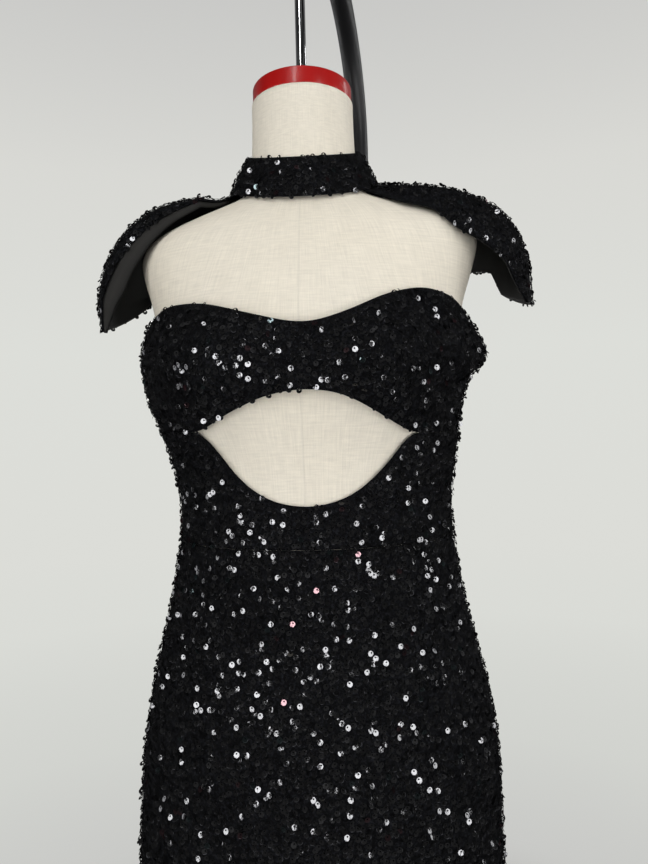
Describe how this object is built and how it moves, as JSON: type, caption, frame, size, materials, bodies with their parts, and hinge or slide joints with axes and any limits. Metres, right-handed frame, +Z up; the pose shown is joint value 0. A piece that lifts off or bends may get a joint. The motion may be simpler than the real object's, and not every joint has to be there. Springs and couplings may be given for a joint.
{
  "type": "mermaid gown on a hanging dress form",
  "caption": "Sequinned mermaid gown with a choker collar, winged shoulder caps and a front cut-out, on a limbless linen dress form hung from a gooseneck stand.",
  "frame": {"origin": "on the floor under the dress form's upright axis, on the base plate's underside", "axes": "+Z up, the gown's front faces -Y, +X is to the right of someone who faces the front"},
  "size_m": [0.5894, 0.6713, 1.7273],
  "materials": {
    "sequin_cloth": "black velvet base closely set with flat black sequins",
    "black_lining": "smooth dull black lining",
    "cream_linen": "plain-woven linen, matt",
    "red_lacquer": "glossy",
    "black_steel": "satin black",
    "chrome": "polished"
  },
  "bodies": {
    "root": {"bust_band": "sequin_cloth", "midriff": "sequin_cloth", "bodice_back_right": "sequin_cloth", "bodice_back_left": "sequin_cloth", "skirt_front": "sequin_cloth", "skirt_back_right": "sequin_cloth", "skirt_back_left": "sequin_cloth", "collar": "sequin_cloth", "wing_left": "sequin_cloth", "wing_right": "sequin_cloth", "wing_lining_left": "black_lining", "wing_lining_right": "black_lining", "form_torso": "cream_linen", "neck_cap": "red_lacquer", "gooseneck": "black_steel", "hanging_rod": "chrome", "rod_coupling": "chrome", "pole_socket": "black_steel", "base_plate": "black_steel"}
  },
  "joints": []
}
